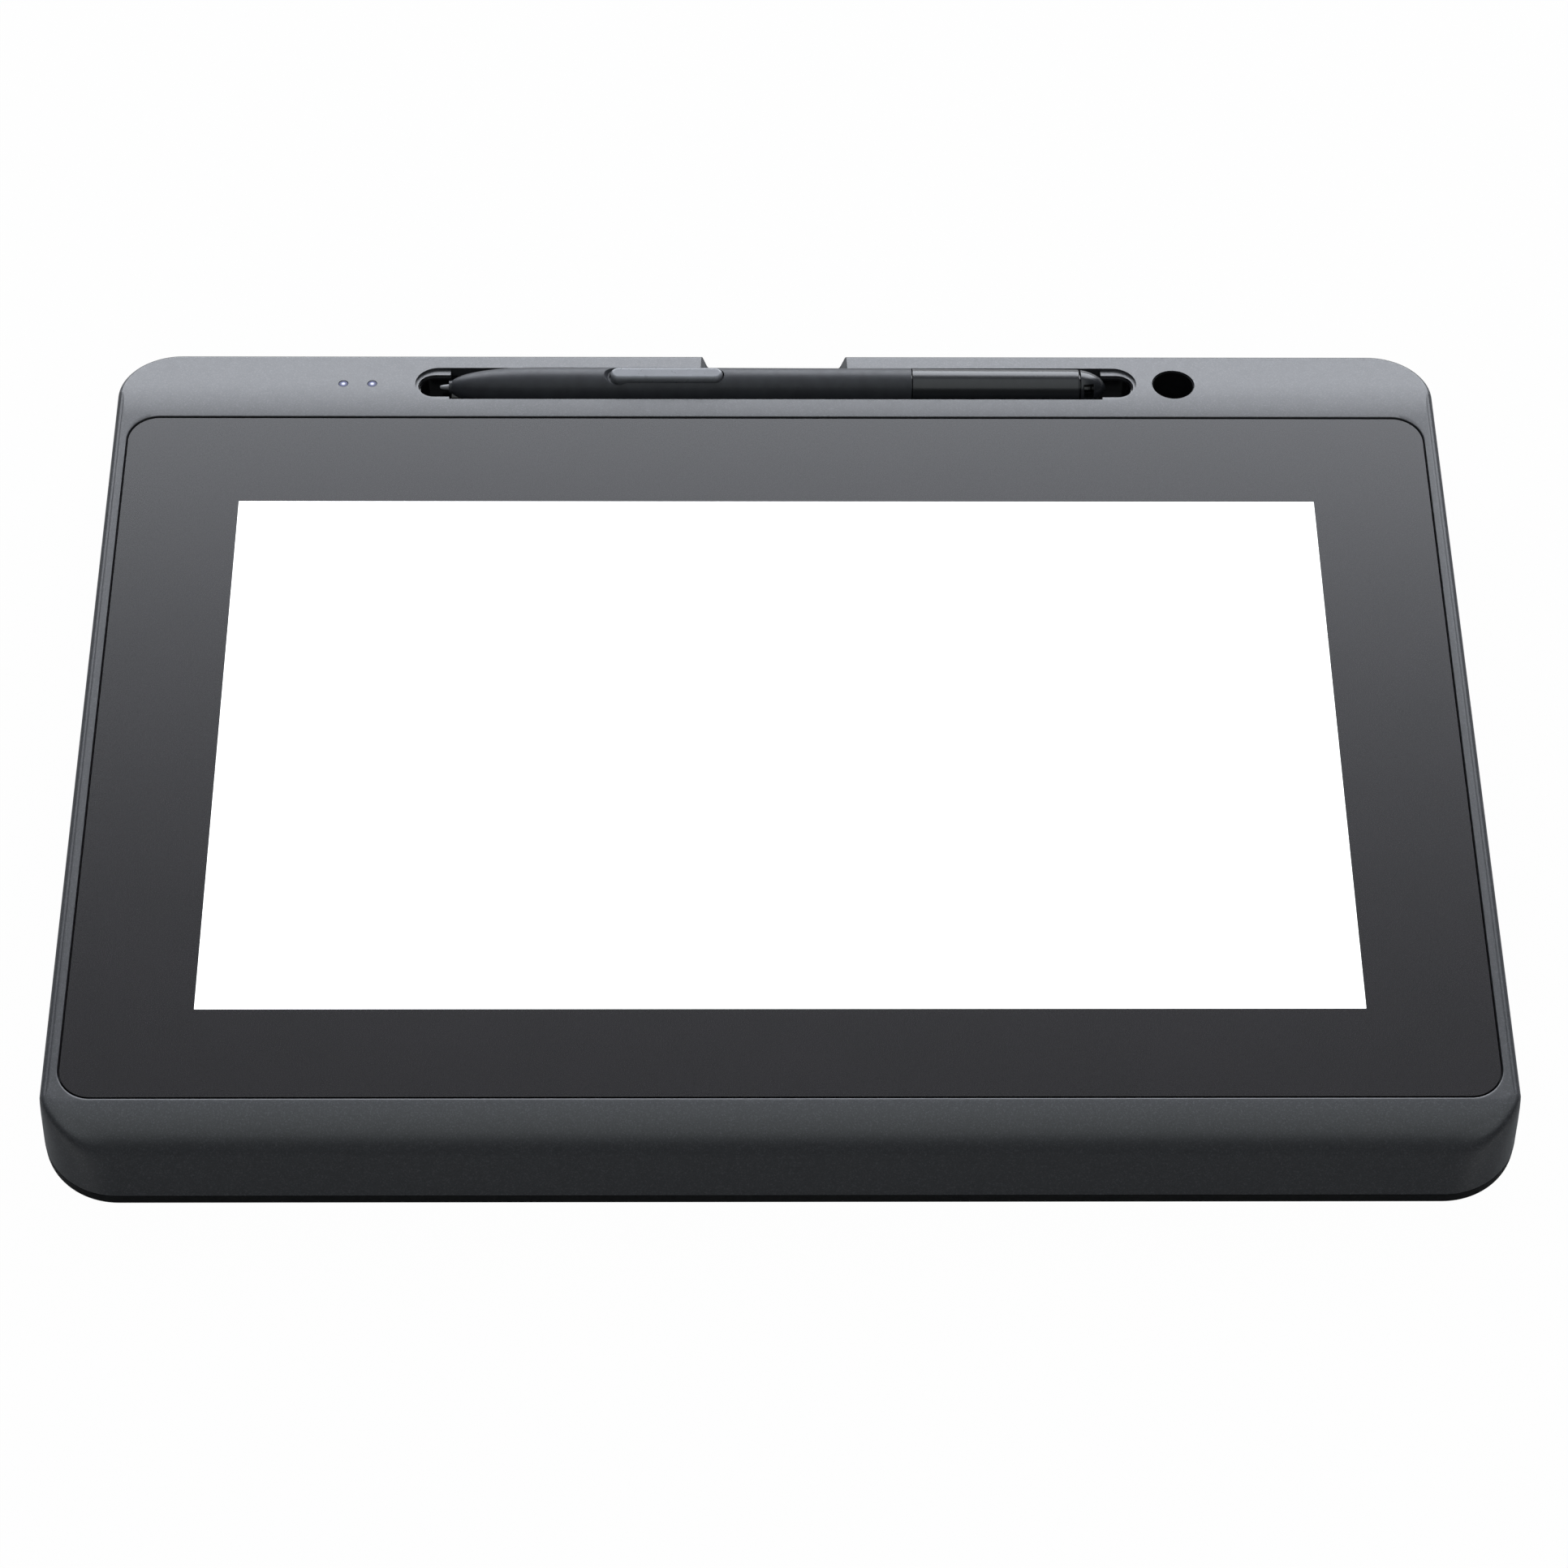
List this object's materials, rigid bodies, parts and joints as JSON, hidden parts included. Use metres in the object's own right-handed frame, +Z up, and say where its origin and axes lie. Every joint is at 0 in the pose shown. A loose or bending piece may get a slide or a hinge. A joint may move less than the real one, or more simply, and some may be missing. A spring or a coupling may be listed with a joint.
{
  "type": "signature pad",
  "caption": "Flat counter signature pad with a glass display face, rolled front edge, pen in a rear tray, pen stand hole and a sliding cable cover underneath.",
  "frame": {"origin": "middle of the footprint, on the surface that the feet stand on", "axes": "+X to the user's right, +Y away from the user, +Z up"},
  "size_m": [0.279, 0.2022, 0.0187],
  "materials": {
    "grey_paint": "fine satin grey paint",
    "black_moulding": "fine moulded texture",
    "gloss_black": "polished",
    "glass_face": "black printed glass with an anti-glare face",
    "lit_panel": "lit display",
    "grip_rubber": "smooth matte rubber",
    "barrel_plastic": "satin",
    "switch_grey": "satin",
    "nib_plastic": "plain",
    "foot_rubber": "matte",
    "foam_tape": "foam tape",
    "sheet_steel": "plated",
    "brass": "turned",
    "board_green": "solder mask",
    "ribbon_amber": "film",
    "light_guide": "clear"
  },
  "bodies": {
    "root": {"top_cover": "grey_paint", "rear_band_left": "grey_paint", "rear_band_right": "grey_paint", "bottom_cover": "black_moulding", "cover_glass": "glass_face", "glass_tape": "foam_tape", "lcd_panel": "lit_panel", "backlight_unit": "sheet_steel", "sensor_board": "board_green", "shield_plate": "sheet_steel", "chassis_plate": "sheet_steel", "main_board": "board_green", "video_socket": "sheet_steel", "usb_socket": "sheet_steel", "power_jack": "black_moulding", "display_ribbon": "ribbon_amber", "sensor_ribbon": "ribbon_amber", "button_board": "board_green", "power_switch": "black_moulding", "status_light_left": "light_guide", "status_light_right": "light_guide", "lock_anchor": "sheet_steel", "pen_tray": "gloss_black", "pen_stand_cup": "gloss_black", "foot_1": "foot_rubber", "chassis_screw_1": "sheet_steel", "board_screw_1": "sheet_steel", "mount_insert_1": "brass", "foot_2": "foot_rubber", "chassis_screw_2": "sheet_steel", "board_screw_2": "sheet_steel", "mount_insert_2": "brass", "foot_3": "foot_rubber", "chassis_screw_3": "sheet_steel", "board_screw_3": "sheet_steel", "mount_insert_3": "brass", "foot_4": "foot_rubber", "chassis_screw_4": "sheet_steel", "board_screw_4": "sheet_steel", "mount_insert_4": "brass", "housing_screw_1": "sheet_steel", "housing_screw_2": "sheet_steel", "housing_screw_3": "sheet_steel", "housing_screw_4": "sheet_steel", "housing_screw_5": "sheet_steel", "housing_screw_6": "sheet_steel", "housing_screw_7": "sheet_steel", "housing_screw_8": "sheet_steel", "button_screw_1": "sheet_steel", "button_screw_2": "sheet_steel"},
    "pen": {"pen_grip": "grip_rubber", "pen_rear_barrel": "barrel_plastic", "pen_end_cap": "grip_rubber", "pen_core": "board_green"},
    "pen_switch": {"pen_switch": "switch_grey"},
    "pen_nib": {"pen_nib": "nib_plastic"},
    "power_button": {"power_button": "black_moulding"},
    "cable_cover": {"cable_cover": "black_moulding"}
  },
  "joints": [
    {"name": "pen_lift", "type": "slide", "parent": "root", "child": "pen", "axis": [0, 0, 1], "range_m": [0, 0.06]},
    {"name": "pen_switch_press", "type": "slide", "parent": "pen", "child": "pen_switch", "axis": [0, 0, -1], "range_m": [0, 0.0005], "stiffness_N_per_m": 1200},
    {"name": "pen_nib_press", "type": "slide", "parent": "pen", "child": "pen_nib", "axis": [1, 0, 0], "range_m": [0, 0.0005], "stiffness_N_per_m": 1500},
    {"name": "power_button_press", "type": "slide", "parent": "root", "child": "power_button", "axis": [0, -1, 0], "range_m": [0, 0.0006], "stiffness_N_per_m": 800},
    {"name": "cable_cover_slide", "type": "slide", "parent": "root", "child": "cable_cover", "axis": [0, 1, 0], "range_m": [0, 0.045]}
  ]
}
